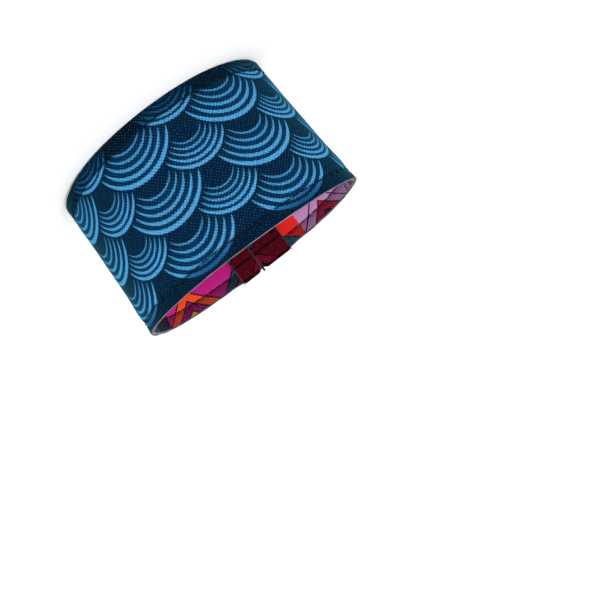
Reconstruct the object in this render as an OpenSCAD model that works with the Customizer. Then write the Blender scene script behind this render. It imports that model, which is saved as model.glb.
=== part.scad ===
// Reversible fabric cuff bracelet: two printed fabrics sewn back to back, with a two-part clasp.
// It stands on its edge, as it does on a table: Z runs along the wrist, the clasp is at the back (+Y).

/* [Loop] */
// Width of the closed loop, outside to outside
loop_width = 66; // [60:1:74]
// Depth of the closed loop, from its front to the outer faces of the clasp
loop_depth = 50; // [44:1:58]

/* [Band] */
// Height of the band, from raw edge to raw edge
band_height = 41; // [34:1:48]
// Thickness of each fabric
ply = 1; // [0.8:0.1:1.4]
// Distance of each stitch row from its edge
stitch_inset = 3.2; // [2.4:0.2:4]
// Half the space that the fabrics leave between them at mid-height
half_puff = 0.25; // [0.1:0.05:0.4]
// Half the space between the fabrics where the stitches pinch them
half_pinch = 0.05; // [0.04:0.01:0.08]
// How far the soft band sinks at the front, until it meets the table
front_droop = 1.1; // [0:0.05:1.1]

/* [Clasp] */
// Length of the longer half along the band, at the left
left_length = 10.3; // [8:0.1:12]
// Length of the shorter half, at the right
right_length = 7.3; // [6:0.1:10]
// How far the seam lies to the right of the loop's middle
seam_x = 0.35; // [-2:0.05:2]
// Thickness through the band
clasp_thickness = 4.3; // [4.2:0.1:5.5]
// How far the clasp stands proud of each raw edge
clasp_proud = 1.15; // [1.1:0.05:1.6]
// Radius of the corners beside the seam, seen from the front
seam_corner = 2.6; // [0.5:0.1:3]
// Radius of the corners at the outer ends
end_corner = 1.6; // [0.5:0.1:1.7]
// Radius of the other edges
edge_radius = 0.25; // [0.2:0.05:0.4]
// Thickness of the lip at each end of a half
lip = 0.3; // [0.25:0.05:0.6]
// How far the lips stand out all round from the block
lip_proud = 0.15; // [0.1:0.05:0.2]
// Solid metal between the meeting face and the end of the fabric
slot_floor = 2.4; // [1.5:0.1:3]

/* [Hidden] */
$fn = 48;

fit_gap = 0.1;    // space round each fabric where it meets the clasp
seam_gap = 0.04;  // space between the two meeting faces
clasp_exit = 0.6; // the band leaves each half straight this far
lip_radius = 0.12; // of the edges of each lip
angle_step = 5;

wall = 2 * (ply + half_puff);
mid_half_width = (loop_width - wall) / 2;
front_radius = (loop_depth - wall) / 2;
back_radius = (loop_depth - clasp_thickness) / 2 - lip_proud;
tuck_x = seam_gap / 2 + slot_floor + fit_gap;
edge_z = clasp_proud;
clasp_height = band_height + 2 * clasp_proud;
block_height = clasp_height - 2 * lip_proud;

// Half of the band's section, from the lower edge to mid-height
HEIGHT = 0;
HALF_GAP = 1;
half_section = [
    // height above the edge, half the gap between the fabrics
    [0, half_pinch + 0.08],
    [stitch_inset - 1.2, half_pinch + 0.06],
    [stitch_inset, half_pinch],
    [stitch_inset + 1.6, (half_pinch + half_puff) / 2],
    [stitch_inset + 5, half_puff],
    [band_height / 2, half_puff]
];
half_rows = len(half_section);
section = [
    for (i = [0 : 2 * half_rows - 2])
        i < half_rows
            ? half_section[i]
            : [band_height - half_section[2 * half_rows - 2 - i][HEIGHT],
               half_section[2 * half_rows - 2 - i][HALF_GAP]]
];

// A station of the mid-line: its place and its outward direction. The angle falls from 90 at the right
// end of the straight back, through 0 at the right, -90 at the front and -180 at the left, to -270.
function at_back(angle) = angle >= 0 || angle <= -180;
function centre_x(angle) =
    !at_back(angle) ? 0
    : angle > -90 ? seam_x + right_length + clasp_exit
    : seam_x - left_length - clasp_exit;
function radius_x(angle) = mid_half_width - abs(centre_x(angle));
function radius_y(angle) = at_back(angle) ? back_radius : front_radius;
function unit(v) = v / norm(v);
function station(angle) = [
    [centre_x(angle) + radius_x(angle) * cos(angle), radius_y(angle) * sin(angle)],
    unit([cos(angle) / radius_x(angle), sin(angle) / radius_y(angle)])
];
stations = concat(
    [[[seam_x + tuck_x, back_radius], [0, 1]]],
    [for (angle = [90 : -angle_step : -270]) station(angle)],
    [[[seam_x - tuck_x, back_radius], [0, 1]]]
);

// The raw edge sinks from the clasp, at the back, to the front
function edge_height(place) =
    edge_z - front_droop * (back_radius - place[1]) / (back_radius + front_radius);

function wall_point(place, outward, height, offset) = [
    place[0] + outward[0] * offset,
    place[1] + outward[1] * offset,
    edge_height(place) + height
];

// One ring of a fabric: up its face next to the other fabric, then down its free face
function ring(stop, side) = concat(
    [for (row = section) wall_point(stop[0], stop[1], row[HEIGHT], side * row[HALF_GAP])],
    [for (i = [len(section) - 1 : -1 : 0])
        wall_point(stop[0], stop[1], section[i][HEIGHT], side * (section[i][HALF_GAP] + ply))]
);

// A fabric is its rings joined in order, and closed at both ends; side is 1 outside and -1 inside
module fabric(side) {
    count = 2 * len(section);
    last = len(stations) - 1;
    points = [for (stop = stations) each ring(stop, side)];
    walls = [
        for (k = [0 : last - 1], j = [0 : count - 1])
            let (a = k * count + j, b = k * count + (j + 1) % count)
                side > 0 ? [a, b, b + count, a + count] : [a, a + count, b + count, b]
    ];
    first_end = [for (j = [0 : count - 1]) side > 0 ? count - 1 - j : j];
    last_end = [for (j = [0 : count - 1]) last * count + (side > 0 ? j : count - 1 - j)];
    polyhedron(points, concat(walls, [first_end, last_end]), convexity = 8);
}

module outer_fabric() {
    color("#17527f") fabric(1);
}

module inner_fabric() {
    color("#b02a78") fabric(-1);
}

module rounded_rectangle(size, radius) {
    translate([radius, 0]) square([size[0] - 2 * radius, size[1]]);
    translate([0, radius]) square([size[0], size[1] - 2 * radius]);
    for (x = [radius, size[0] - radius], y = [radius, size[1] - radius])
        translate([x, y]) circle(radius);
}

// An outline drawn across X, carried along X
module along_x(length) {
    rotate([90, 0, 90]) linear_extrude(length) children();
}

// An outline drawn in the front view, carried through the thickness, centred on Y
module through_y(thickness) {
    translate([0, thickness / 2, 0]) rotate([90, 0, 0]) linear_extrude(thickness) children();
}

// A block from the origin along X and Z, centred on Y, rounded in all three views. Seen from the front, its
// corners are larger at the seam, where it is solid, than at the other end.
module rounded_block(length, thickness, height) {
    intersection() {
        through_y(thickness)
            rounded_rectangle([2 * length, height], seam_corner);
        through_y(thickness)
            translate([-length, 0])
                rounded_rectangle([2 * length, height], end_corner);
        translate([0, -thickness / 2, 0])
            linear_extrude(height)
                rounded_rectangle([length, thickness], edge_radius);
        along_x(length)
            translate([-thickness / 2, 0])
                rounded_rectangle([thickness, height], edge_radius);
    }
}

// A thin bead across the band, a little larger than the block all round
module clasp_lip(x) {
    thickness = clasp_thickness + 2 * lip_proud;
    translate([x, 0, 0])
        intersection() {
            along_x(lip)
                translate([-thickness / 2, 0])
                    rounded_rectangle([thickness, clasp_height], lip_radius);
            translate([0, -thickness / 2, 0])
                linear_extrude(clasp_height)
                    rounded_rectangle([lip, thickness], lip_radius);
        }
}

// A half to the right of its meeting face: a block with a lip at each end, and a blind slot for the ends of
// both fabrics
module clasp_half(length) {
    slot_thickness = wall + 2 * fit_gap;
    translate([seam_gap / 2, 0, 0])
        difference() {
            union() {
                translate([0, 0, lip_proud])
                    rounded_block(length, clasp_thickness, block_height);
                clasp_lip(0);
                clasp_lip(length - lip);
            }
            translate([slot_floor, -slot_thickness / 2, edge_z - fit_gap])
                cube([length, slot_thickness, band_height + 2 * fit_gap]);
        }
}

module clasp_half_right() {
    color("#b9b8b6") translate([seam_x, back_radius, 0]) clasp_half(right_length);
}

module clasp_half_left() {
    color("#b9b8b6") translate([seam_x, back_radius, 0]) mirror([1, 0, 0]) clasp_half(left_length);
}

outer_fabric();
inner_fabric();
clasp_half_left();
clasp_half_right();
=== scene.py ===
import math

import bpy
import numpy as np
from mathutils import Matrix, Vector


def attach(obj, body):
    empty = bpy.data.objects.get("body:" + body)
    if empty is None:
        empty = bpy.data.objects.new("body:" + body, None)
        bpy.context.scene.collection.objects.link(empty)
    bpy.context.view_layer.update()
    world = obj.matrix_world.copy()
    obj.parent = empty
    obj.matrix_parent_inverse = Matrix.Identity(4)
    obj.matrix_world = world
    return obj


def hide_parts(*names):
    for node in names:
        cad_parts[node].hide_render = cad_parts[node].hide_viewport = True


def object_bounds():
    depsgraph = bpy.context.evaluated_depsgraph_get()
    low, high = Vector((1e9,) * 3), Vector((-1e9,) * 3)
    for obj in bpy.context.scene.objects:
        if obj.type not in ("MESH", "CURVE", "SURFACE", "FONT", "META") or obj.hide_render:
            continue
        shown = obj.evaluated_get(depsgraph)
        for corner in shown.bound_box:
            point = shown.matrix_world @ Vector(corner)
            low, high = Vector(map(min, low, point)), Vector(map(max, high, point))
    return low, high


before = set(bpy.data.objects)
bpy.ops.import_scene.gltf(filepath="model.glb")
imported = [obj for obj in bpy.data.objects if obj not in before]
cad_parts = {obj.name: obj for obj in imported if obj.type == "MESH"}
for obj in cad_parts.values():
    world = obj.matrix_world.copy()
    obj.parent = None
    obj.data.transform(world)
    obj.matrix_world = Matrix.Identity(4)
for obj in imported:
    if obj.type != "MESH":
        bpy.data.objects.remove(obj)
cadLow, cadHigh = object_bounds()
metresPerMm = 0.001

# The camera
photoCamera = {
    "side": 600,                # pixels along each side of the picture
    "focal": 687.5,             # focal length in pixels
    "distance": 179.75,         # mm from the loop's axis
    "height": 63.46,            # mm above the floor
    "azimuth": -0.98,           # degrees round the loop, 0 is the front
    "roll": 142.345,            # degrees that the picture is turned clockwise
    "aim": (-1.28, 0.0, 39.23), # mm
    "axisAt": (254.75, 249.45), # the pixel that the optical axis meets
    "sensor": 36.0,
    "clip": (0.01, 50),         # metres
}


# The camera looks from its place to the aim; its right and up are turned in the picture's plane by the roll.
def makeCamera(values):
    turn, roll = math.radians(values["azimuth"]), math.radians(values["roll"])
    away = values["distance"]
    place = Vector((away * math.sin(turn), -away * math.cos(turn), values["height"]))
    ahead = (Vector(values["aim"]) - place).normalized()
    right = ahead.cross(Vector((0, 0, 1))).normalized()
    up = right.cross(ahead)
    across = math.cos(roll) * right + math.sin(roll) * up
    upward = -math.sin(roll) * right + math.cos(roll) * up
    data = bpy.data.cameras.new("photoView")
    data.sensor_width = values["sensor"]
    data.lens = values["focal"] * values["sensor"] / values["side"]
    data.shift_x = 0.5 - values["axisAt"][0] / values["side"]
    data.shift_y = values["axisAt"][1] / values["side"] - 0.5
    data.clip_start, data.clip_end = values["clip"]
    camera = bpy.data.objects.new("photoView", data)
    bpy.context.scene.collection.objects.link(camera)
    turned = Matrix((across, upward, -ahead)).transposed().to_4x4()
    camera.matrix_world = Matrix.Translation(place * metresPerMm) @ turned
    bpy.context.scene.camera = camera


makeCamera(photoCamera)
print("camera placed")


# An object's reach along one axis, in mm, lowest and highest
def reach(name, axis):
    corners = [corner[axis] / metresPerMm for corner in bpy.data.objects[name].bound_box]
    return min(corners), max(corners)


# The loop that the cloths follow
halfWall = 1.25            # mm from the line midway between the cloths to their free faces
claspWall = 2.3            # mm from that line to the clasp's outer lips
exitStretch = 0.58         # mm that the band runs straight on past the clasp
loopShape = {
    "halfWidth": cadHigh[0] / metresPerMm - halfWall,
    "frontRadius": -cadLow[1] / metresPerMm - halfWall,
    "backRadius": cadHigh[1] / metresPerMm - claspWall,
    "rightExit": reach("clasp_half_right", 0)[1],   # the clasp's ends
    "leftExit": reach("clasp_half_left", 0)[0],
    "seam": (reach("clasp_half_right", 0)[0] + reach("clasp_half_left", 0)[1]) / 2,
    "tuck": 2.52,          # the cloths end this far from the seam, inside the clasp
    "edge": 1.15,          # height of the lower raw edge at the clasp
    "droop": 1.1,          # and how much lower it is at the front
    "height": 41.0,        # of the band, from raw edge to raw edge
}
# the back's quarter turns start where the band has left the clasp
loopShape["rightCentre"] = loopShape["rightExit"] + exitStretch
loopShape["leftCentre"] = loopShape["leftExit"] - exitStretch
print("loop:", {name: round(value, 3) for name, value in loopShape.items()})


# Quarter ellipses joined by straight lines at the back: x = centre + radius cos a, y = radius sin a, with the
# angle a from -270 degrees at the left of the clasp, through -90 at the front, to 90 at its right. The points
# are an eighth of a degree apart, and a straight end inside the clasp is added at each side.
def traceLoop(shape, samples=2881):
    angle = np.radians(np.linspace(-270, 90, samples))
    behind = (angle >= 0) | (angle <= -math.pi)
    centre = np.where(behind, np.where(angle > -math.pi / 2, shape["rightCentre"], shape["leftCentre"]), 0.0)
    radiusX = shape["halfWidth"] - np.abs(centre)
    radiusY = np.where(behind, shape["backRadius"], shape["frontRadius"])
    line = np.stack([centre + radiusX * np.cos(angle), radiusY * np.sin(angle)], 1)
    outward = np.stack([np.cos(angle) / radiusX, np.sin(angle) / radiusY], 1)
    outward /= np.linalg.norm(outward, axis=1)[:, None]
    ends = np.array([[shape["seam"] + step, shape["backRadius"]] for step in (-shape["tuck"], shape["tuck"])])
    line = np.concatenate([ends[:1], line, ends[1:]])
    outward = np.concatenate([[[0.0, 1.0]], outward, [[0.0, 1.0]]])
    along = lengthAlong(line)
    along -= along[1 + np.argmin(np.abs(angle + math.pi / 2))]
    return {"line": line, "outward": outward, "along": along}


def lengthAlong(line):
    return np.concatenate([[0.0], np.cumsum(np.linalg.norm(np.diff(line, axis=0), axis=1))])


loop = traceLoop(loopShape)
loopStart, loopEnd = loop["along"][0], loop["along"][-1]


# A point of the band: along is the length from the front's middle toward +X, offset is outward from the
# middle line, and height is above the lower raw edge, which sinks evenly from the clasp to the front. The raw
# edges also sag and lift a little, but not in the clasp.
def bandPoint(along, offset, height):
    px, py = (np.interp(along, loop["along"], loop["line"][:, k]) for k in (0, 1))
    nx, ny = (np.interp(along, loop["along"], loop["outward"][:, k]) for k in (0, 1))
    depth = loopShape["backRadius"] + loopShape["frontRadius"]
    edge = loopShape["edge"] - loopShape["droop"] * (loopShape["backRadius"] - py) / depth
    s = bandSection
    sag = np.interp(along, *s["sag"]) * smoothStep(s["sagFoot"], loopShape["height"], height)
    lift = np.interp(along, *s["lift"]) * (1 - smoothStep(0, s["liftHead"], height))
    height = height + (lift - sag) * (1 - claspHold(along))
    return np.stack(np.broadcast_arrays(px + nx * offset, py + ny * offset, edge + height), -1)


# Length along a face that stands off from the middle line, for the flat pattern's coordinate
def faceLength(along, offset):
    line = loop["line"] + offset * loop["outward"]
    length = lengthAlong(line)
    length -= np.interp(0.0, loop["along"], length)
    return np.interp(along, loop["along"], length)


# Each thing that is drawn at random has its own seed; side, 1 or -1, is added for each cloth
seeds = {"gather": 5, "puff": 11, "upperRim": 21, "lowerRim": 31, "stitches": 41}


# A smooth random line that seldom passes -1 or 1: sine waves of 0.7 to 1.6 times the given wavelength, with
# their sum divided by 1.4 times the root of their number
def softNoise(along, wavelength, seed, waves=5):
    draw = np.random.default_rng(seed)
    lengths = wavelength * draw.uniform(0.7, 1.6, waves)
    phases = draw.uniform(0, 2 * math.pi, waves)
    total = sum(np.sin(2 * math.pi * along / size + phase) for size, phase in zip(lengths, phases))
    return total / math.sqrt(waves) / 1.4


def smoothStep(low, high, value):
    t = np.clip((value - low) / (high - low), 0, 1)
    return t * t * (3 - 2 * t)


# The two cloths
bandSection = {
    "full": halfWall,    # the free faces' distance from the middle line, at mid-height
    "stitchAt": 3.2,     # the stitch rows' distance from the raw edges
    "nip": 0.25,         # broad pull of the stitches
    "nipWidth": 2.6,     # over this distance from the row
    "rimWidth": (4.5, 1e6),   # and over these toward the raw edge, on the outer and the inner cloth
    "dent": 0.30,        # sharp groove under the thread
    "dentWidth": 0.62,
    "dentSwing": 0.45,   # share by which it is deeper at the holes
    "dentUneven": 0.15,  # and by which it varies at random
    "gatherWave": 14,    # over this length
    "curl": 1.3,         # power with which the inner hem leans out
    "flare": 0.60,       # how far the hem leans outward at the inner cloth's raw edge
    "upperLean": 0.20,   # how far the upper hem leans outward at the loop's two tips, on top of the flare
    "lowerLean": -0.20,  # the lower hem leans inward a little there
    "waist": -0.55,      # the tips are drawn in low down, and flare above
    "waistAt": 9.0,
    "waistSpread": 12.0,
    "tipFlare": 0.70,
    "flareFrom": 27.0,   # heights
    "flareFull": 38.0,
    "tipFrom": 12,       # the tips' own shape starts at this |x|, and is full at the next
    "tipFull": 31,
    "tipLean": 0.42,     # at the tips the inner cloth's raw edge leans out to a thinner outer one
    "tipPly": 0.45,
    # how much lower the upper raw edge is, and how much higher the lower, at lengths from the front's middle
    "sag": ((-70, -50, -44, -30, -10, 0, 10, 24, 44, 55),
            (0.2, 0.5, 0.4, 0.0, 0.05, 0.2, 0.4, 0.58, 0.5, 0.32)),
    "lift": ((0, 15, 25, 35, 44, 55),
             (0.0, 0.12, 0.25, 0.40, 0.35, 0.0)),
    "sagFoot": 22.0,     # height from which the upper part sags
    "liftHead": 15.0,    # and to which the lower part is lifted
    "roll": 0.0233,      # how much the hems roll away, over this width
    "rollWidth": 6.0,
    "rimPly": 0.68,      # thickness of a cloth at its hem
    "fullPly": 1.0,      # and where it is padded
    "padFrom": 3.7,      # distances from the raw edge between which the padding grows full
    "padFull": 8,
    "rimRadius": 0.16,   # rounding of the printed side's edge
    "stitchPitch": 2.6,  # from hole to hole
    "ripple": 0.05,      # ripples beside the stitches; none at the row itself
    "rippleGap": 0.5,    # distances over which they grow from it and die away again
    "rippleReach": 1.5,
    "rippleLag": 1.2,    # radians by which they stray along the row
    "puff": 0.05,        # slow unevenness of the padded part
    "puffWave": 17,
    "puffFrom": 5,
    "puffFull": 14,
    "rimWander": 0.05,   # unevenness of the raw edges, over these lengths, upper and lower
    "wanderWave": (7, 8),
    "wanderReach": 2.0,  # how much of the hem moves along with them
    "hiddenRows": 14,    # on the face toward the other cloth; the outermost lie this far from the raw edges
    "hiddenInset": 0.06,
    "claspBlend": 3.5,   # over this length the band thickens to fill the clasp's slot
    # there it has the CAD's section: its thickness, and half the gap at distances from the raw edge
    "claspPly": 1.0,
    "claspSection": ((0, 2.0, 3.2, 4.8, 8.2, 20.5), (0.13, 0.11, 0.05, 0.15, 0.25, 0.25)),
}


# Length of band between a point and the nearer end of the clasp; negative inside it
def fromClasp(along):
    leftDepth = loopShape["seam"] - loopShape["tuck"] - loopShape["leftExit"]
    rightDepth = loopShape["rightExit"] - loopShape["seam"] - loopShape["tuck"]
    return np.minimum(along - loopStart - leftDepth, loopEnd - along - rightDepth)


# How far each column is taken over by the clasp's slot: 1 inside it, 0 past the blend
def claspHold(along):
    return 1 - smoothStep(0, bandSection["claspBlend"], fromClasp(along))


# 1 at the two tips of the loop, falling to 0 at the front and the back, as |x| does along the band
def tipNearness(along):
    x = np.interp(along, loop["along"], loop["line"][:, 0])
    return smoothStep(bandSection["tipFrom"], bandSection["tipFull"], np.abs(x))


# Offset of a cloth's free face. A broad bell and a narrow bell, both centred on the stitch row, pull it in;
# the inner cloth's hem leans outward; ripples as long as a stitch die away from the row. At the loop's tips a
# wide bell draws the whole band in low down, and a smooth step flares it above. side is 1 outside and -1
# inside.
def faceOffset(along, height, side):
    s = bandSection
    depth = np.minimum(height, loopShape["height"] - height)
    upper = height > loopShape["height"] / 2
    away = depth - s["stitchAt"]
    outward = side > 0
    wide = np.where(away > 0, s["nipWidth"], s["rimWidth"][0 if outward else 1])
    phase = 2 * math.pi * along / s["stitchPitch"]
    gather = softNoise(along, s["gatherWave"], seeds["gather"]) * np.where(upper, 1, -1)
    dent = s["dent"] * (1 + s["dentSwing"] * np.cos(phase) + s["dentUneven"] * gather)
    face = s["full"] - s["nip"] * np.exp(-(away / wide) ** 2) - dent * np.exp(-(away / s["dentWidth"]) ** 2)
    beside = np.exp(-(away / s["rippleReach"]) ** 2)
    ripple = s["ripple"] * np.cos(phase + s["rippleLag"] * gather) * beside
    face = face + ripple * np.abs(np.tanh(away / s["rippleGap"]))
    puff = s["puff"] * softNoise(along, s["puffWave"], seeds["puff"] + side)
    face = face + puff * smoothStep(s["puffFrom"], s["puffFull"], depth)
    toRim = np.clip(-away / s["stitchAt"], 0, 1)
    flare = s["flare"] + s["tipLean"] * tipNearness(along)
    free = side * face + (0 if outward else flare * toRim ** s["curl"])
    lean = np.where(upper, s["upperLean"], s["lowerLean"]) * toRim
    lean = lean + s["waist"] * np.exp(-((height - s["waistAt"]) / s["waistSpread"]) ** 2)
    lean = lean + s["tipFlare"] * smoothStep(s["flareFrom"], s["flareFull"], height)
    free = free + lean * tipNearness(along)
    held = side * (s["claspPly"] + np.interp(depth, *s["claspSection"]))
    return free + (held - free) * claspHold(along)


# Thickness of a cloth: thin at the hem, full where the band is padded, and the CAD's inside the clasp
def plyThickness(along, height):
    s = bandSection
    depth = np.minimum(height, loopShape["height"] - height)
    rim = s["rimPly"] + (s["tipPly"] - s["rimPly"]) * tipNearness(along)
    free = rim + (s["fullPly"] - rim) * smoothStep(s["padFrom"], s["padFull"], depth)
    return free + (s["claspPly"] - free) * claspHold(along)


# Heights of the free face's rows, which lie closest together at the stitches
def rowHeights():
    depths = [0.3, 0.55, 0.85, 1.2, 1.6, 2.0, 2.35, 2.65, 2.85, 3.0, 3.1, 3.2, 3.3, 3.4, 3.55, 3.75, 4.0,
              4.35, 4.8, 5.4, 6.2, 7.2, 8.5, 10, 12, 14.5, 17.5]
    top = loopShape["height"]
    return np.array(depths + [top / 2] + [top - d for d in reversed(depths)])


# A cloth's closed section, as offset and height: up the free face, over the rounded raw edge, down the hidden
# face and back under the lower raw edge. Gives the heights before and after the raw edges' unevenness, and a
# kind, which is 0 on the printed part and 1 on the rest.
def clothRing(along, side):
    s = bandSection
    top, radius = loopShape["height"], s["rimRadius"]
    face = rowHeights()
    arc = np.radians([18, 36, 54, 72, 90])   # the rounding's corners
    flat = np.array([0.35, 0.7])             # and two more, across the flat of the cut
    hidden = np.linspace(top - s["hiddenInset"], s["hiddenInset"], s["hiddenRows"])
    columns = along[:, None]

    # one raw edge: a quarter circle from the free face, then flat across the cut
    def rim(upper):
        end = top if upper else 0.0
        sign = 1 if upper else -1
        start = faceOffset(columns, np.array([[end - sign * radius]]), side)
        back = start - side * plyThickness(columns, np.array([[end]]))
        offset = start - side * radius * (1 - np.cos(arc))
        height = end - sign * radius * (1 - np.sin(arc)) + 0 * offset
        offset = np.concatenate([offset, offset[:, -1:] + (back - offset[:, -1:]) * flat], 1)
        height = np.concatenate([height, np.full((len(along), len(flat)), end)], 1)
        return offset, height

    upOffset, upHeight = rim(True)
    downOffset, downHeight = rim(False)
    faceOut = faceOffset(columns, face[None], side)
    hiddenOut = faceOffset(columns, hidden[None], side) - side * plyThickness(columns, hidden[None])
    offset = np.concatenate([faceOut, upOffset, hiddenOut, downOffset[:, ::-1]], 1)
    height = np.concatenate([face + 0 * faceOut, upHeight, hidden + 0 * hiddenOut, downHeight[:, ::-1]], 1)
    # each raw edge moves up and down along the band, and takes the hem beside it along
    upper = softNoise(along, s["wanderWave"][0], seeds["upperRim"] + side)[:, None]
    lower = softNoise(along, s["wanderWave"][1], seeds["lowerRim"] + side)[:, None]
    upper = upper * np.exp(-((height - top) / s["wanderReach"]) ** 2)
    lower = lower * np.exp(-(height / s["wanderReach"]) ** 2)
    shifted = height + s["rimWander"] * (1 - claspHold(along))[:, None] * (upper + lower)
    # the print goes on over half of the outer cloth's rounded edge, and ends just short of the inner cloth's
    rimKinds = [0, 0, 0, 1, 1, 1, 1] if side > 0 else [1, 1, 1, 1, 1, 1, 1]
    kinds = np.concatenate([np.zeros(len(face)), rimKinds, np.ones(len(hidden)), rimKinds[::-1]]).astype(int)
    return offset, height, shifted, kinds


def makeMesh(name, vertices, faces, materials, faceMaterials=None, flat=None):
    mesh = bpy.data.meshes.new(name)
    mesh.from_pydata((vertices * metresPerMm).tolist(), [], faces)
    mesh.polygons.foreach_set("use_smooth", np.ones(len(mesh.polygons), dtype=bool))
    for material in materials:
        mesh.materials.append(material)
    if faceMaterials is not None:
        mesh.polygons.foreach_set("material_index", np.asarray(faceMaterials, dtype=np.int32))
    if flat is not None:
        corners = np.empty(len(mesh.loops), dtype=np.int32)
        mesh.loops.foreach_get("vertex_index", corners)
        layer = mesh.uv_layers.new(name="flatMm")
        layer.uv.foreach_set("vector", flat[corners].astype(np.float32).ravel())
    mesh.update()
    piece = bpy.data.objects.new(name, mesh)
    bpy.context.scene.collection.objects.link(piece)
    return piece


# The rings side by side: corner k of ring n joins corner k + 1 and the same two of ring n + 1
def gridFaces(rings, around, flip):
    n, k = np.meshgrid(np.arange(rings - 1), np.arange(around), indexing="ij")
    after = (k + 1) % around
    quads = np.stack([n * around + k, n * around + after, (n + 1) * around + after, (n + 1) * around + k], -1)
    quads = quads.reshape(-1, 4)
    return quads[:, ::-1] if flip else quads


# A cloth is its sections joined in order, and closed at both ends, which are cut edges too
def makeCloth(name, side, materials, columns=480):
    along = np.linspace(loopStart, loopEnd, columns)
    offset, height, shifted, kinds = clothRing(along, side)
    vertices = bandPoint(along[:, None], offset, shifted).reshape(-1, 3)
    around = offset.shape[1]
    quads = gridFaces(columns, around, flip=side > 0)
    first, last = list(range(around)), list(range((columns - 1) * around, columns * around))
    caps = [first[::-1], last] if side < 0 else [first, last[::-1]]
    kind = np.tile(np.maximum(kinds, np.roll(kinds, -1)), columns - 1)
    length = faceLength(along, side * bandSection["full"])
    if side > 0:
        crowded = smoothStep(wavePrint["squeezeFrom"], wavePrint["squeezeFull"], length)
        length = length + wavePrint["squeeze"] * crowded
    # the hems roll away from the eye, which crowds the print there
    rolled = np.maximum(height - loopShape["height"] + bandSection["rollWidth"], 0) ** 2
    rolled = rolled - np.maximum(bandSection["rollWidth"] - height, 0) ** 2
    flat = np.stack([np.repeat(length, around), (height + bandSection["roll"] * rolled).ravel()], 1)
    faces = quads.tolist() + caps
    return makeMesh(name, vertices, faces, materials, np.concatenate([kind, [1, 1]]), flat)


# Materials. An sRGB hex code, as a linear colour
def hexColour(code):
    parts = [int(code[k:k + 2], 16) / 255 for k in (1, 3, 5)]
    return tuple(c / 12.92 if c <= 0.04045 else ((c + 0.055) / 1.055) ** 2.4 for c in parts) + (1.0,)


# One node, with its settings, its ramp's stops, and a link or a value for each input. Gives its first output
# in use.
def addNode(tree, kind, inputs=(), stops=None, **settings):
    made = tree.nodes.new("ShaderNode" + kind)
    for name, value in settings.items():
        setattr(made, name, value)
    if stops:
        elements = made.color_ramp.elements
        while len(elements) < len(stops):
            elements.new(0.5)
        for element, (position, colour) in zip(elements, stops):
            element.position, element.color = position, hexColour(colour)
    for key, value in inputs.items() if isinstance(inputs, dict) else enumerate(inputs):
        if isinstance(value, bpy.types.NodeSocket):
            tree.links.new(value, made.inputs[key])
        elif value is not None:
            made.inputs[key].default_value = value
    return next((out for out in made.outputs if out.enabled), None)


def newMaterial(name):
    material = bpy.data.materials.new(name)
    material.use_nodes = True
    tree = material.node_tree
    tree.nodes.clear()
    return material, tree


def finishMaterial(tree, inputs):
    shader = addNode(tree, "BsdfPrincipled", inputs)
    addNode(tree, "OutputMaterial", {"Surface": shader})


# The flat pattern's coordinates in millimetres, as two sockets
def flatCoordinates(tree):
    where = addNode(tree, "SeparateXYZ", [addNode(tree, "UVMap", uv_map="flatMm")])
    return where, where.node.outputs["Y"]


weave = {
    "pitch": 0.50,        # mm between the yarns; about 0.4 on the real cloth, drawn coarser to show
    "crowns": 0.42,       # share of the crowns in the relief, and of the yarns' lines
    "lines": 0.50,
    "sway": 0.30,         # mm by which the yarns wander
    "swayScale": 0.5,     # noise scales are in waves per mm
    "depth": 0.045,       # mm from the hollows to the crowns
    "shade": 0.80,        # painted shade: the hollows are drawn darker and the crowns lighter
    "grain": 1.1,         # uneven yarns
    "grainScale": 2.3,
    "blotch": 0.20,       # uneven dye
    "patchScale": 0.25,
    "crownTint": 0.42,         # the most that the crowns turn to the yarn colour
    "crownTintScale": 1.8,
    "crownTintRange": (0.38, 0.68),
    "crownTop": 0.9,      # relief of a crown
}
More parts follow.
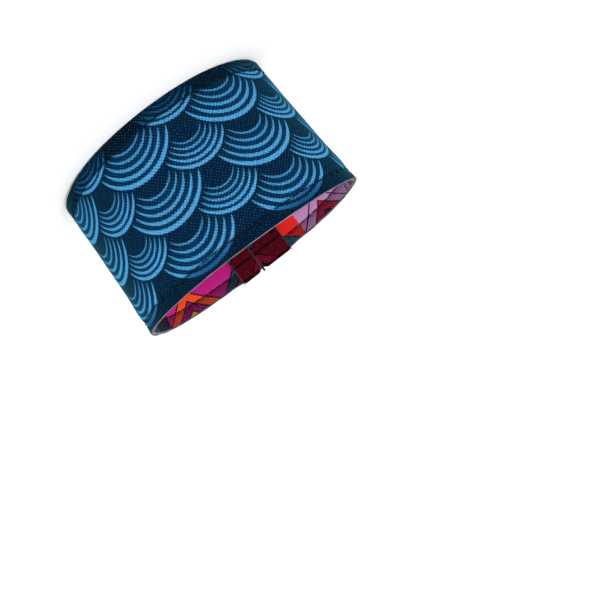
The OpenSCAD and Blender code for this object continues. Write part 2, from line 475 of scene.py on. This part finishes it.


# Plain weave: with u = cos(pi x / pitch) and v = cos(pi y / pitch), u u + v v - 1 is highest along the yarns,
# and u v at every other crossing, where the yarn on top has its crown. The relief is a weighted sum of both.
# The colour factor is painted shade that follows the relief, darker in the hollows and lighter on
# the crowns, times a grain from uneven yarns and a little uneven dye. Gives the relief, that factor, and how
# much the crowns are tinted toward the yarn colour, in random patches.
def weaveNodes(tree, along, height):
    place = addNode(tree, "CombineXYZ", [along, height])
    noises = []
    for name, detail in (("swayScale", 0.0), ("grainScale", 3.0), ("patchScale", 2.0), ("crownTintScale", 3.0)):
        inputs = {"Vector": place, "Scale": weave[name], "Detail": detail}
        noises.append(addNode(tree, "TexNoise", inputs, noise_dimensions="2D"))
    sway, grain, patch, crownTint = noises
    yarns = []
    for shift, across in ((weave["sway"], along), (-weave["sway"], height)):
        yarn = addNode(tree, "Math", [sway, shift, across], operation="MULTIPLY_ADD")
        yarn = addNode(tree, "Math", [yarn, math.pi / weave["pitch"]], operation="MULTIPLY")
        yarns.append(addNode(tree, "Math", [yarn], operation="COSINE"))
    warp, weft = yarns
    relief = addNode(tree, "Math", [warp, weft], operation="MULTIPLY")
    lines = addNode(tree, "Math", [weft, weft, -1.0], operation="MULTIPLY_ADD")
    lines = addNode(tree, "Math", [warp, warp, lines], operation="MULTIPLY_ADD")
    lines = addNode(tree, "Math", [lines, weave["lines"]], operation="MULTIPLY")
    relief = addNode(tree, "Math", [relief, weave["crowns"], lines], operation="MULTIPLY_ADD")
    shade = addNode(tree, "Math", [relief, weave["shade"], 1.0], operation="MULTIPLY_ADD")
    for noise, amount in ((grain, weave["grain"]), (patch, weave["blotch"])):
        uneven = addNode(tree, "Math", [noise, amount, 1 - amount / 2], operation="MULTIPLY_ADD")
        shade = addNode(tree, "Math", [shade, uneven], operation="MULTIPLY")
    low, high = weave["crownTintRange"]
    crownTint = addNode(tree, "MapRange", {"Value": crownTint, "From Min": low, "From Max": high,
                                      "To Max": weave["crownTint"]})
    crown = addNode(tree, "MapRange", {"Value": relief, "From Min": 0.0, "From Max": weave["crownTop"]})
    return relief, shade, addNode(tree, "Math", [crownTint, crown], operation="MULTIPLY")


hemLook = {
    "inHem": (-0.5, 0.3),       # the hems and their painted shade reach up to here, in mm from the stitch row
    "grooveShadeFade": (0.1, 0.45),       # and the painted shade in the thread's groove fades over these distances from it
    "turn": (0.45, 0.55),         # shares of the height between which the lower hem's painted shade gives way to the upper's
}


# Distance from the nearer raw edge, and 1 in the hems and 0 elsewhere
def hemNodes(tree, height):
    down = addNode(tree, "Math", [loopShape["height"], height], operation="SUBTRACT")
    depth = addNode(tree, "Math", [height, down], operation="MINIMUM")
    low, high = (bandSection["stitchAt"] + step for step in hemLook["inHem"])
    inHem = addNode(tree, "MapRange", {"Value": depth, "From Min": low, "From Max": high,
                                         "To Min": 1.0, "To Max": 0.0})
    return depth, inHem


# Painted shade: the colour is darkened in the hems, each by its own factor, and in the thread's groove
def paintedHemShade(tree, height, shade, depth, inHem, values):
    low, high = (share * loopShape["height"] for share in hemLook["turn"])
    side = addNode(tree, "MapRange", {"Value": height, "From Min": low, "From Max": high,
                                      "To Min": values["lowerHemShade"], "To Max": values["upperHemShade"]})
    dim = addNode(tree, "MapRange", {"Value": inHem, "To Min": 1.0, "To Max": side})
    across = addNode(tree, "Math", [depth, bandSection["stitchAt"]], operation="SUBTRACT")
    across = addNode(tree, "Math", [across], operation="ABSOLUTE")
    low, high = hemLook["grooveShadeFade"]
    dip = addNode(tree, "MapRange", {"Value": across, "From Min": low, "From Max": high,
                                     "To Min": values["grooveShade"], "To Max": 1.0})
    shade = addNode(tree, "Math", [shade, dim], operation="MULTIPLY")
    return addNode(tree, "Math", [shade, dip], operation="MULTIPLY")


# Printed woven polyester: ink sunk in a matt cloth, so hardly any gloss, and a faint cool sheen where the
# cloth turns away
def finishCloth(tree, colour, relief, crownTint, yarn):
    colour = addNode(tree, "Mix", {0: crownTint, 6: colour, 7: hexColour(yarn)}, data_type="RGBA")
    bump = addNode(tree, "Bump", {"Strength": 0.9, "Distance": weave["depth"] * metresPerMm,
                                  "Height": relief})
    finishMaterial(tree, {"Base Color": colour, "Roughness": 0.9, "Specular IOR Level": 0.01,
                          "Sheen Weight": 0.35, "Sheen Roughness": 0.4, "Sheen Tint": hexColour("#2c8f96"),
                          "Normal": bump})


wavePrint = {
    "pitch": 27.12,        # mm between the columns of large scales; the small ones stand midway
    "start": 8.23,         # a large column's middle
    "row": 13.33,
    "level": 26.95,        # height of a large scale's crown
    "smallDrop": 8.01,     # the small scales' crowns are this much lower
    "lean": 0.0093,        # the print runs this much downhill toward +X
    "columnLean": 0.02,    # and its columns this much toward +X with height
    "squeeze": 2.2,        # mm by which its columns crowd together at the right, between these lengths
    "squeezeFrom": 10,
    "squeezeFull": 45,
    "leanAt": 20,          # height at which the columns are in their places
    "headroom": 0.8,       # mm above a crown that still belong to its row
    "inner": 0.5,          # mm over which the ground in a scale fades at its outermost and innermost arc
    "fade": 0.07,          # each arc is this much fainter than the one outside it
    "taper": 0.46,         # power with which an arc gets thinner toward its ends
    "soft": 0.25,          # mm over which the ink's edge fades
    "ragged": 0.18,        # mm by which the yarns push that edge out where they stand up
    "large": {"radius": (11.44, -2.01, 0.14), "step": 2.06, "reach": (70, 69, 71, 70, 65),
              "width": (1.12, 0.92, 0.77, 0.63, 0.51)},
    "small": {"radius": (8.97, -1.54, 0.12), "step": 1.52, "reach": (66, 67, 69, 67, 62),
              "width": (0.87, 0.73, 0.59, 0.49, 0.38)},
    "lowestLarge": 2.0,    # no large scale starts below this height, and no small one above the next
    "highestSmall": 34.3,
    "ground": "#011a33",
    "groundInScale": "#012746",
    "ink": "#4389b8",
    "hemInk": "#2676b4",   # the ink in the hems, darker and deeper blue
    "rimInk": 0.4,         # how much of it is left at the raw edge
    "rimInkOver": (0.3, 2.4),   # distances from that edge between which it grows whole
    "yarn": "#447086",
    "upperHemShade": 0.62,      # painted shade: the colour is multiplied by this in the upper hem
    "lowerHemShade": 0.38,      # by this in the lower one
    "grooveShade": 0.55,        # and by this in the thread's groove
}


# Five tapering arcs of one scale. Arc i has its crown i steps down and the radius a + b i + c i i. A point is
# inked where its distance from the circle is under half the width, which is a little more on the yarns'
# crowns and falls to nothing at the arc's reach, in degrees from the crown. Gives the ink, and 1 inside the
# scale.
def scaleArcs(tree, x, y, relief, values):
    p = wavePrint
    soft = p["soft"]
    total = inside = None
    innermost = len(values["width"]) - 1
    for i, (end, width) in enumerate(zip(values["reach"], values["width"])):
        radius = values["radius"][0] + values["radius"][1] * i + values["radius"][2] * i * i
        drop = addNode(tree, "Math", [values["step"] * i + radius, y], operation="SUBTRACT")
        spoke = addNode(tree, "CombineXYZ", [x, drop])
        far = addNode(tree, "VectorMath", [spoke], operation="LENGTH").node.outputs["Value"]
        past = addNode(tree, "Math", [far, radius], operation="SUBTRACT")
        off = addNode(tree, "Math", [past], operation="ABSOLUTE")
        turn = addNode(tree, "Math", [x, drop], operation="ARCTAN2")
        turn = addNode(tree, "Math", [turn, math.radians(end)], operation="DIVIDE")
        turn = addNode(tree, "Math", [turn, 2.0], operation="POWER")
        left = addNode(tree, "Math", [1.0, turn], operation="SUBTRACT", use_clamp=True)
        left = addNode(tree, "Math", [left, p["taper"]], operation="POWER")
        half = addNode(tree, "Math", [relief, p["ragged"], width / 2 + soft / 2], operation="MULTIPLY_ADD")
        half = addNode(tree, "Math", [left, half], operation="MULTIPLY")
        ink = addNode(tree, "Math", [half, off], operation="SUBTRACT")
        ink = addNode(tree, "Math", [ink, soft], operation="DIVIDE", use_clamp=True)
        ink = addNode(tree, "Math", [ink, 1 - p["fade"] * i], operation="MULTIPLY")
        total = ink if total is None else addNode(tree, "Math", [total, ink], operation="MAXIMUM")
        if i == 0:
            within = addNode(tree, "Math", [past, -1 / p["inner"]], operation="MULTIPLY", use_clamp=True)
            inside = addNode(tree, "Math", [within, left], operation="MULTIPLY")
        if i == innermost:
            beyond = addNode(tree, "Math", [past, 1 / p["inner"]], operation="MULTIPLY", use_clamp=True)
            inside = addNode(tree, "Math", [inside, beyond], operation="MULTIPLY")
    return total, inside


# Traditional overlapping wave scales, large and small in turn, in clear blue on navy
def makeWaveCloth():
    material, tree = newMaterial("printedWovenPolyesterWaves")
    p = wavePrint
    along, height = flatCoordinates(tree)
    relief, shade, crownTint = weaveNodes(tree, along, height)
    depth, inHem = hemNodes(tree, height)
    level = addNode(tree, "Math", [along, -p["lean"], p["level"]], operation="MULTIPLY_ADD")
    inks, scales = [], []
    for values, shiftX, drop, edge, test in (
            (p["large"], 0.0, 0.0, p["lowestLarge"], "GREATER_THAN"),
            (p["small"], p["pitch"] / 2, p["smallDrop"], p["highestSmall"], "LESS_THAN")):
        x = addNode(tree, "Math", [height, -p["columnLean"], along], operation="MULTIPLY_ADD")
        first = p["start"] + shiftX - p["leanAt"] * p["columnLean"]
        x = addNode(tree, "Math", [x, first], operation="SUBTRACT")
        x = addNode(tree, "Math", [x, p["pitch"] / 2, -p["pitch"] / 2], operation="WRAP")
        x = addNode(tree, "Math", [x], operation="ABSOLUTE")
        y = addNode(tree, "Math", [level, drop], operation="SUBTRACT")
        y = addNode(tree, "Math", [y, height], operation="SUBTRACT")
        y = addNode(tree, "Math", [y, p["row"] - p["headroom"], -p["headroom"]], operation="WRAP")
        ink, inside = scaleArcs(tree, x, y, relief, values)
        kept = addNode(tree, "Math", [height, edge], operation=test)
        inks.append(addNode(tree, "Math", [ink, kept], operation="MULTIPLY"))
        scales.append(addNode(tree, "Math", [inside, kept], operation="MULTIPLY"))
    ink = addNode(tree, "Math", inks, operation="MAXIMUM")
    low, high = p["rimInkOver"]
    left = addNode(tree, "MapRange", {"Value": depth, "From Min": low, "From Max": high,
                                      "To Min": p["rimInk"], "To Max": 1.0})
    ink = addNode(tree, "Math", [ink, left], operation="MULTIPLY")
    inside = addNode(tree, "Math", scales, operation="MAXIMUM")
    names = ("ground", "groundInScale", "ink", "hemInk")
    ground, inScale, clear, hem = (hexColour(p[name]) for name in names)
    ground = addNode(tree, "Mix", {0: inside, 6: ground, 7: inScale}, data_type="RGBA")
    blue = addNode(tree, "Mix", {0: inHem, 6: clear, 7: hem}, data_type="RGBA")
    colour = addNode(tree, "Mix", {0: ink, 6: ground, 7: blue}, data_type="RGBA")
    shade = paintedHemShade(tree, height, shade, depth, inHem, p)
    colour = addNode(tree, "VectorMath", {0: colour, "Scale": shade}, operation="SCALE")
    finishCloth(tree, colour, relief, crownTint, p["yarn"])
    return material


brightPrint = {
    "tooth": 20.0,         # mm; width of a saw tooth
    "depth": 10.0,         # how far it hangs down, from a line this far above the raw edge
    "above": 1.0,
    "layers": (0, 0.6, 3.9, 4.5, 7.6, 8.1),   # where its outlines and fillings begin, above its side
    "tile": 20.0,          # between the diamonds
    "diamondAt": 22.6,     # height of their middles
    "halfDiamond": 8.0,    # half their height
    "rings": (0.96, 0.88, 0.66, 0.59, 0.36, 0.29, 0.13),   # outlines and fillings, as shares of their size
    "dots": (1.9, 1.45),   # radii of a dot's outline and filling
    "dotShift": 0.66,      # from the diamonds' middle line to the dots, as a share of halfDiamond
    "stripes": (10.6, 13.6),
    "stripe": (3.1, 1.6),  # from stripe to stripe, and a stripe's width
    "slant": 0.55,
    "zigzag": 10.0,        # width of a zigzag
    "climb": 0.95,
    "repeat": 6.6,         # in height
    "bands": ((0, 2.1), (2.1, 2.6), (2.6, 3.6), (3.6, 4.1), (6.1, 6.6)),
    "line": 0.34,          # half the width of a black outline
    "black": "#120b14",
    "blush": "#e9b6bf",
    "yarn": "#c98aa8",
    # painted shade in the hems and in the thread's groove, as for the waves
    "upperHemShade": 0.40,
    "lowerHemShade": 0.40,
    "grooveShade": 0.35,
    "length": 180,         # mm over which the colours below are laid, half of it on each side
    # colours that change along the band; each holds from the given length, in mm from the front's middle
    "ground": [(-90, "#e3261c"), (-69, "#c08abf"), (-40, "#5a2a86"), (-15, "#7d0d28"), (30, "#2a0f2a"),
               (50, "#bf1c80")],
    "outer": [(-90, "#0e5f7a"), (-70, "#c08abf"), (-50, "#a978b6"), (-30, "#c42f7c"), (-10, "#a3103a"),
              (10, "#8a1a62"), (30, "#1a1016"), (50, "#f0501a"), (70, "#0f3f4c")],
    "middle": [(-90, "#c9205e"), (-70, "#a3123c"), (-50, "#a3123c"), (-30, "#e06a14"), (-10, "#3c0714"),
               (10, "#1a7fa3"), (30, "#1c5876"), (50, "#8f1262")],
    "heart": [(-90, "#a878b8"), (-70, "#3c0714"), (-50, "#e8a81c"), (-30, "#1a1238"), (-10, "#e06a14"),
              (10, "#e9b6bf"), (30, "#1a1016"), (50, "#f0a33c"), (70, "#c9205e")],
}


# The other cloth has a made-up geometric print in magenta, orange, teal and lilac: big saw teeth, slanting
# stripes, nested diamonds with dots between them, and zigzags, all outlined in black.
def makeBrightCloth():
    material, tree = newMaterial("printedWovenPolyesterBright")
    p = brightPrint
    far, under = 99, -9   # mm; above and below everything in the print
    black, blush = hexColour(p["black"]), hexColour(p["blush"])
    along, height = flatCoordinates(tree)
    relief, shade, crownTint = weaveNodes(tree, along, height)

    # a colour that changes along the band, read with a shift where asked
    def alongColour(name, shift=0.0):
        full = p["length"]
        part = addNode(tree, "Math", [along, 1 / full, 0.5 + shift / full], operation="MULTIPLY_ADD")
        stops = [((place + full / 2) / full, code) for place, code in p[name]]
        ramp = addNode(tree, "ValToRGB", [part], stops=stops)
        ramp.node.color_ramp.interpolation = "CONSTANT"
        return ramp

    # paints over a colour where the value lies between two bounds, for each row of low, high and filling
    def paint(colour, value, rows):
        for low, high, filling in rows:
            mask = addNode(tree, "Math", [value, (low + high) / 2, (high - low) / 2], operation="COMPARE")
            colour = addNode(tree, "Mix", {0: mask, 6: colour, 7: filling}, data_type="RGBA")
        return colour

    # distance from the nearest of the upright lines that stand a width apart, moved by a shift
    def folded(width, shift):
        moved = addNode(tree, "Math", [along, shift], operation="ADD")
        moved = addNode(tree, "Math", [moved, width / 2, -width / 2], operation="WRAP")
        return addNode(tree, "Math", [moved], operation="ABSOLUTE")

    ground, outer, middle, heart = (alongColour(name) for name in ("ground", "outer", "middle", "heart"))
    # nested diamonds: |x| / half the width + |y| / half the height is 1 on the outermost outline
    x = folded(p["tile"], p["tile"] / 2)
    y = addNode(tree, "Math", [height, p["diamondAt"]], operation="SUBTRACT")
    y = addNode(tree, "Math", [y], operation="ABSOLUTE")
    q = addNode(tree, "Math", [x, 2 / p["tile"]], operation="MULTIPLY")
    q = addNode(tree, "Math", [y, 1 / p["halfDiamond"], q], operation="MULTIPLY_ADD")
    # their colours are read elsewhere along the band, so that they aren't those of the teeth above them
    fillings = (black, alongColour("middle", 10), black, alongColour("outer", -30), black,
                alongColour("heart", 10), black)
    colour = paint(ground, q, [(-1, ring, filling) for ring, filling in zip(p["rings"], fillings)])
    # dots in the ground between the diamonds
    x = folded(p["tile"], 0.0)
    y = addNode(tree, "Math", [y, p["dotShift"] * p["halfDiamond"]], operation="SUBTRACT")
    dot = addNode(tree, "VectorMath", [addNode(tree, "CombineXYZ", [x, y])], operation="LENGTH")
    dot = dot.node.outputs["Value"]
    fillings = (black, alongColour("middle", 50))
    colour = paint(colour, dot, [(-1, radius, filling) for radius, filling in zip(p["dots"], fillings)])

    # saw teeth that hang from the upper edge, nested like the diamonds: how high a point is above their sides
    fold = folded(p["tooth"], 0.0)
    slope = 2 * p["depth"] / p["tooth"]
    top = loopShape["height"] + p["above"] - p["depth"]
    inTooth = addNode(tree, "Math", [fold, slope, top], operation="MULTIPLY_ADD")
    inTooth = addNode(tree, "Math", [height, inTooth], operation="SUBTRACT")
    fillings = (black, outer, black, middle, black, heart)
    teeth = paint(ground, inTooth, [(layer, far, filling) for layer, filling in zip(p["layers"], fillings)])
    colour = paint(colour, height, [(top, far, teeth)])

    # slanting stripes, and zigzags below them: the height is read along a folded line, in repeating stripes
    low, high = p["stripes"]
    apart, wide = p["stripe"]
    slant = addNode(tree, "Math", [height, p["slant"], along], operation="MULTIPLY_ADD")
    slant = addNode(tree, "Math", [slant, apart, 0.0], operation="WRAP")
    striped = paint(black, slant, [(0, wide, blush)])
    climb = addNode(tree, "Math", [folded(p["zigzag"], 0.0), p["climb"], height], operation="MULTIPLY_ADD")
    climb = addNode(tree, "Math", [climb, p["repeat"], 0.0], operation="WRAP")
    fillings = (alongColour("middle", 10), black, blush, black, black)
    zigzag = paint(ground, climb, [(*band, filling) for band, filling in zip(p["bands"], fillings)])
    colour = paint(colour, height, ((low, high, striped), (under, low, zigzag)))
    colour = paint(colour, height, [(at - p["line"], at + p["line"], black) for at in (low, high, top)])
    shade = paintedHemShade(tree, height, shade, *hemNodes(tree, height), p)
    colour = addNode(tree, "VectorMath", {0: colour, "Scale": shade}, operation="SCALE")
    finishCloth(tree, colour, relief, crownTint, p["yarn"])
    return material


edgeFinish = {
    "fibres": 2600.0,      # noise waves per metre, about 0.4 mm each
    "tint": 350.0,
    "range": (0.78, 1.25), # of the two noises' sum, over which the colours are laid
    "colours": [(0.0, "#20262c"), (0.4, "#3a4048"), (0.7, "#55525c"), (1.0, "#7d757e")],
}


# Heat-cut edge of the two cloths: fibre ends that show grey, with no print and hardly any gloss
def makeCutEdge():
    material, tree = newMaterial("cutPolyesterEdge")
    place = addNode(tree, "TexCoord").node.outputs["Object"]
    fibres = addNode(tree, "TexNoise", {"Vector": place, "Scale": edgeFinish["fibres"], "Detail": 3.0})
    tint = addNode(tree, "TexNoise", {"Vector": place, "Scale": edgeFinish["tint"], "Detail": 2.0})
    mixed = addNode(tree, "Math", [fibres, tint], operation="ADD")
    low, high = edgeFinish["range"]
    mixed = addNode(tree, "MapRange", {"Value": mixed, "From Min": low, "From Max": high})
    colour = addNode(tree, "ValToRGB", [mixed], stops=edgeFinish["colours"])
    bump = addNode(tree, "Bump", {"Strength": 0.8, "Distance": 0.00008, "Height": fibres})
    finishMaterial(tree, {"Base Color": colour, "Roughness": 0.95, "Specular IOR Level": 0.1,
                          "Sheen Weight": 0.15, "Sheen Roughness": 0.6, "Normal": bump})
    return material


threadFinish = {
    "twist": 0.5,          # mm that the yarn takes for one turn
    "shadow": (0.18, 0.9), # swing and middle of the shade across the twist
    "hole": 0.55,          # mm of thread on each side of a hole where a painted glint may show
    # the colours of the thread and of its painted glint, and the share of the holes where the glint shows
    "navy": ("#04182a", "#86a2bc", 0.07),
    "plum": ("#260a1c", "#c98aa8", 0.12),
}


# Spun polyester sewing thread: matt, with a twist that shows as a slanting ripple of painted shade. At some
# of its holes a pale painted glint shows.
def makeThread(name, code, glintColour, share):
    material, tree = newMaterial(name)
    along, around = flatCoordinates(tree)
    pitch, turn = bandSection["stitchPitch"], threadFinish["twist"]
    twist = addNode(tree, "Math", [around, turn, along], operation="MULTIPLY_ADD")
    twist = addNode(tree, "Math", [twist, 2 * math.pi / turn], operation="MULTIPLY")
    twist = addNode(tree, "Math", [twist], operation="SINE")
    factor = addNode(tree, "Math", [twist, *threadFinish["shadow"]], operation="MULTIPLY_ADD")
    hole = addNode(tree, "Math", [along, pitch / 2, -pitch / 2], operation="WRAP")
    hole = addNode(tree, "Math", [hole, 0.0, threadFinish["hole"]], operation="COMPARE")
    number = addNode(tree, "Math", [along, 1 / pitch, 0.5], operation="MULTIPLY_ADD")
    number = addNode(tree, "Math", [number], operation="FLOOR")
    lot = addNode(tree, "TexWhiteNoise", {"W": number}, noise_dimensions="1D").node.outputs["Value"]
    lot = addNode(tree, "Math", [lot, 1 - share], operation="GREATER_THAN")
    glint = addNode(tree, "Math", [hole, lot], operation="MULTIPLY")
    colour = addNode(tree, "Mix", {0: glint, 6: hexColour(code), 7: hexColour(glintColour)}, data_type="RGBA")
    colour = addNode(tree, "VectorMath", {0: colour, "Scale": factor}, operation="SCALE")
    bump = addNode(tree, "Bump", {"Strength": 0.6, "Distance": 0.00004, "Height": twist})
    finishMaterial(tree, {"Base Color": colour, "Roughness": 0.7, "Specular IOR Level": 0.04,
                          "Sheen Weight": 0.03, "Sheen Roughness": 0.4, "Normal": bump})
    return material


claspFinish = {
    "metal": "#b5b3b0",
    "smooth": 0.01,        # roughness between the wiping marks, and in them
    "wiped": 0.04,
    "marks": 900.0,        # noise waves per metre
    "smear": 160.0,
    "range": (0.1, 0.4),   # of the two noises' product, over which the roughness grows
    # painted shade on the two meeting faces, in the slit of the seam
    "seamShade": "#1c1b1b",
    "meeting": 0.03,       # mm from the seam's middle; the meeting faces lie nearer than this
    "lip": 0.3,            # mm, the lips' thickness
    "satinAt": 0.8,        # middle of the satin beside the seam, and half its width, in lips
    "satinHalf": 0.28,
    "satin": 0.4,          # its roughness
    "satinMetal": "#4e4c4b",
}


# Nickel plate, mirror-polished: it looks dark from the front only because it mirrors the inside of the loop.
# Faint wiping marks blur it unevenly. The lips are satin, and the two meeting faces are painted dark and
# rough as shade in the slit of the seam.
def makeClaspMetal():
    material, tree = newMaterial("nickelPlatePolished")
    place = addNode(tree, "TexCoord").node.outputs["Object"]
    marks = addNode(tree, "TexNoise", {"Vector": place, "Scale": claspFinish["marks"], "Detail": 4.0})
    smear = addNode(tree, "TexNoise", {"Vector": place, "Scale": claspFinish["smear"], "Detail": 2.0})
    rough = addNode(tree, "Math", [marks, smear], operation="MULTIPLY")
    low, high = claspFinish["range"]
    rough = addNode(tree, "MapRange", {"Value": rough, "From Min": low, "From Max": high,
                                       "To Min": claspFinish["smooth"], "To Max": claspFinish["wiped"]})
    bump = addNode(tree, "Bump", {"Strength": 0.1, "Distance": 0.00001, "Height": marks})
    across = addNode(tree, "SeparateXYZ", [place])
    seam, lip = loopShape["seam"], claspFinish["lip"]
    # bands across X, each as its middle and half its width in mm: the meeting faces, then a narrow satin one
    # round each lip, at its middle or, beside the seam, nearer to the block
    beside, half = claspFinish["satinAt"] * lip, claspFinish["satinHalf"] * lip
    bands = [(seam, claspFinish["meeting"]), (loopShape["leftExit"] + lip / 2, half), (seam - beside, half),
             (seam + beside, half), (loopShape["rightExit"] - lip / 2, half)]
    bands = [(middle * metresPerMm, wide * metresPerMm) for middle, wide in bands]
    masks = [addNode(tree, "Math", [across, *band], operation="COMPARE") for band in bands]
    seamShade, satin = masks[:2]
    for mask in masks[2:]:
        satin = addNode(tree, "Math", [satin, mask], operation="MAXIMUM")
    level = addNode(tree, "Math", [satin, claspFinish["satin"]], operation="MULTIPLY")
    rough = addNode(tree, "Math", [rough, level], operation="MAXIMUM")
    bright, worn, dark = (hexColour(claspFinish[name]) for name in ("metal", "satinMetal", "seamShade"))
    colour = addNode(tree, "Mix", {0: satin, 6: bright, 7: worn}, data_type="RGBA")
    colour = addNode(tree, "Mix", {0: seamShade, 6: colour, 7: dark}, data_type="RGBA")
    rough = addNode(tree, "Math", [rough, seamShade], operation="MAXIMUM")
    finishMaterial(tree, {"Base Color": colour, "Metallic": 1.0, "Roughness": rough, "Normal": bump})
    return material


# The pieces
cutEdge = makeCutEdge()
outerCloth = makeCloth("wave_cloth", 1, [makeWaveCloth(), cutEdge])
innerCloth = makeCloth("bright_cloth", -1, [makeBrightCloth(), cutEdge])
print("cloths made:", len(outerCloth.data.polygons), "faces each")

stitching = {
    "length": 2.05,      # mm of thread that shows between two holes
    "thread": 0.30,      # mm across
    "rise": -0.03,       # how far the thread stands above the groove's floor midway; here it is pressed in
    "sink": 0.34,        # how deep its ends go
    "wander": 0.07,
    "clear": 0.8,        # no stitch is nearer than this to the clasp
}


# Each stitch is a tube from hole to hole, with rings of six corners and a point at each end. Its line is
# above the groove's floor by rise + half its thickness - (sink + rise) |2 t - 1| cubed, with t from 0 to 1
# along it.
def makeStitches(name, side, material):
    s, corners = stitching, 6
    pitch = bandSection["stitchPitch"]
    number = np.arange(math.ceil(loopStart / pitch), math.floor(loopEnd / pitch) + 1)
    middle = (number + 0.5) * pitch
    middle = middle[fromClasp(middle) > s["clear"] + s["length"] / 2]
    draw = np.random.default_rng(seeds["stitches"] + side)
    t = np.array([0.0, 0.1, 0.3, 0.5, 0.7, 0.9, 1.0])
    thick = s["thread"] / 2 * np.array([0.0, 0.85, 1.0, 1.0, 1.0, 0.85, 0.0])
    rings = len(t) - 2
    spin = np.arange(corners) * 2 * math.pi / corners
    vertices, flats = [], []
    for rowHeight in (bandSection["stitchAt"], loopShape["height"] - bandSection["stitchAt"]):
        slip = draw.uniform(-1, 1, (2, len(middle))) * s["wander"]
        along = middle[:, None] + (t - 0.5) * s["length"]
        height = rowHeight + slip[0][:, None] + (slip[1] - slip[0])[:, None] * t
        rise = s["rise"] + s["thread"] / 2 - (s["sink"] + s["rise"]) * np.abs(2 * t - 1) ** 3
        # the groove's floor, as it is midway along a stitch
        floor = faceOffset(middle[:, None] + 0 * along, rowHeight + 0 * along, side)
        offset = floor + side * rise
        ringAlong = np.repeat(along[..., None], corners, 2)
        ringOffset = offset[..., None] + thick[:, None] * np.cos(spin)
        ringHeight = height[..., None] + thick[:, None] * np.sin(spin)
        vertices.append(bandPoint(ringAlong, ringOffset, ringHeight))
        flats.append(np.stack(np.broadcast_arrays(ringAlong, spin / (2 * math.pi) + 0 * ringAlong), -1))
    grid = np.concatenate(vertices)
    flat = np.concatenate(flats)
    count = len(grid)
    # the end rings have no radius, so each keeps one corner only
    inner = rings * corners
    points = np.concatenate([grid[:, 0, :1], grid[:, 1:-1].reshape(count, inner, 3), grid[:, -1, :1]], 1)
    flat = np.concatenate([flat[:, 0, :1], flat[:, 1:-1].reshape(count, inner, 2), flat[:, -1, :1]], 1)
    n, k = np.meshgrid(np.arange(rings - 1), np.arange(corners), indexing="ij")
    corner, after = 1 + n * corners + k, 1 + n * corners + (k + 1) % corners
    quads = np.stack([corner, corner + corners, after + corners, after], -1).reshape(-1, 4)
    k = np.arange(corners)
    tip = inner + 1
    lastRing = tip - corners
    first = np.stack([0 * k, 1 + k, 1 + (k + 1) % corners], 1)
    last = np.stack([0 * k + tip, lastRing + (k + 1) % corners, lastRing + k], 1)
    ends = np.concatenate([first, last])
    base = (np.arange(count) * (tip + 1))[:, None, None]
    faces = (quads[None] + base).reshape(-1, 4).tolist() + (ends[None] + base).reshape(-1, 3).tolist()
    print("stitches made:", name, count)
    return makeMesh(name, points.reshape(-1, 3), faces, [material], None, flat.reshape(-1, 2))


navyThread = makeThread("navyPolyesterThread", *threadFinish["navy"])
plumThread = makeThread("plumPolyesterThread", *threadFinish["plum"])
outerStitches = makeStitches("wave_side_stitches", 1, navyThread)
innerStitches = makeStitches("bright_side_stitches", -1, plumThread)

claspMetal = makeClaspMetal()
for half in ("clasp_half_left", "clasp_half_right"):
    for holder in bpy.data.objects[half].material_slots:
        holder.material = claspMetal
print("clasp finished")

# How the pieces belong to the frame: the cloths, each cut as a strip, and their stitches hang from the root,
# and the CAD's cloths are hidden
for piece, node, slotName in ((outerCloth, "outer_fabric", "wave_print_fabric"),
                              (innerCloth, "inner_fabric", "bright_print_fabric")):
    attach(piece, "root")
    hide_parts(node)
for piece, slotName in ((outerStitches, "wave_print_fabric"), (innerStitches, "bright_print_fabric")):
    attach(piece, "root")

# Floor and light
studio = {
    "floor": "#f7f7f7",
    "floorSize": 6.0,
    "sky": 1.08,
    "skyInGloss": 2.0,     # the white walls behind are lit brighter, which the polished metal shows
    "aimHeight": 0.02,     # the lamps point at this height above the floor's middle
    "key": {"place": (-0.25, -0.55, 0.60), "size": 0.45, "power": 2.5},
    "fill": {"place": (0.55, -0.30, 0.35), "size": 0.40, "power": 0.8},
    "back": {"place": (0.10, 0.60, 0.55), "size": 0.50, "power": 1.2},
}


def makeFloor():
    half = studio["floorSize"] / 2
    mesh = bpy.data.meshes.new("floor")
    corners = [(-half, -half, 0), (half, -half, 0), (half, half, 0), (-half, half, 0)]
    mesh.from_pydata(corners, [], [(0, 1, 2, 3)])
    material, tree = newMaterial("mattPaperSweep")
    paper = hexColour(studio["floor"])
    finishMaterial(tree, {"Base Color": paper, "Roughness": 0.9, "Specular IOR Level": 0.1})
    mesh.materials.append(material)
    floor = bpy.data.objects.new("floor", mesh)
    bpy.context.scene.collection.objects.link(floor)


def makeLight(name, values):
    data = bpy.data.lights.new(name, "AREA")
    data.size, data.energy = values["size"], values["power"]
    light = bpy.data.objects.new(name, data)
    place = Vector(values["place"])
    back = place - Vector((0, 0, studio["aimHeight"]))
    light.matrix_world = Matrix.Translation(place) @ back.to_track_quat("Z", "Y").to_matrix().to_4x4()
    bpy.context.scene.collection.objects.link(light)


makeFloor()
for name in ("key", "fill", "back"):
    makeLight(name, studio[name])
world = bpy.data.worlds.new("studioSky")
world.use_nodes = True
sky = world.node_tree
sky.nodes.clear()
rays = addNode(sky, "LightPath").node.outputs
strength = addNode(sky, "MapRange", {"Value": rays["Is Glossy Ray"], "To Min": studio["sky"],
                                     "To Max": studio["skyInGloss"]})
glow = addNode(sky, "Background", {"Color": (1.0, 1.0, 1.0, 1.0), "Strength": strength})
addNode(sky, "OutputWorld", {"Surface": glow})
bpy.context.scene.world = world
bpy.context.scene.view_settings.view_transform = "Standard"
print("floor and lights placed")
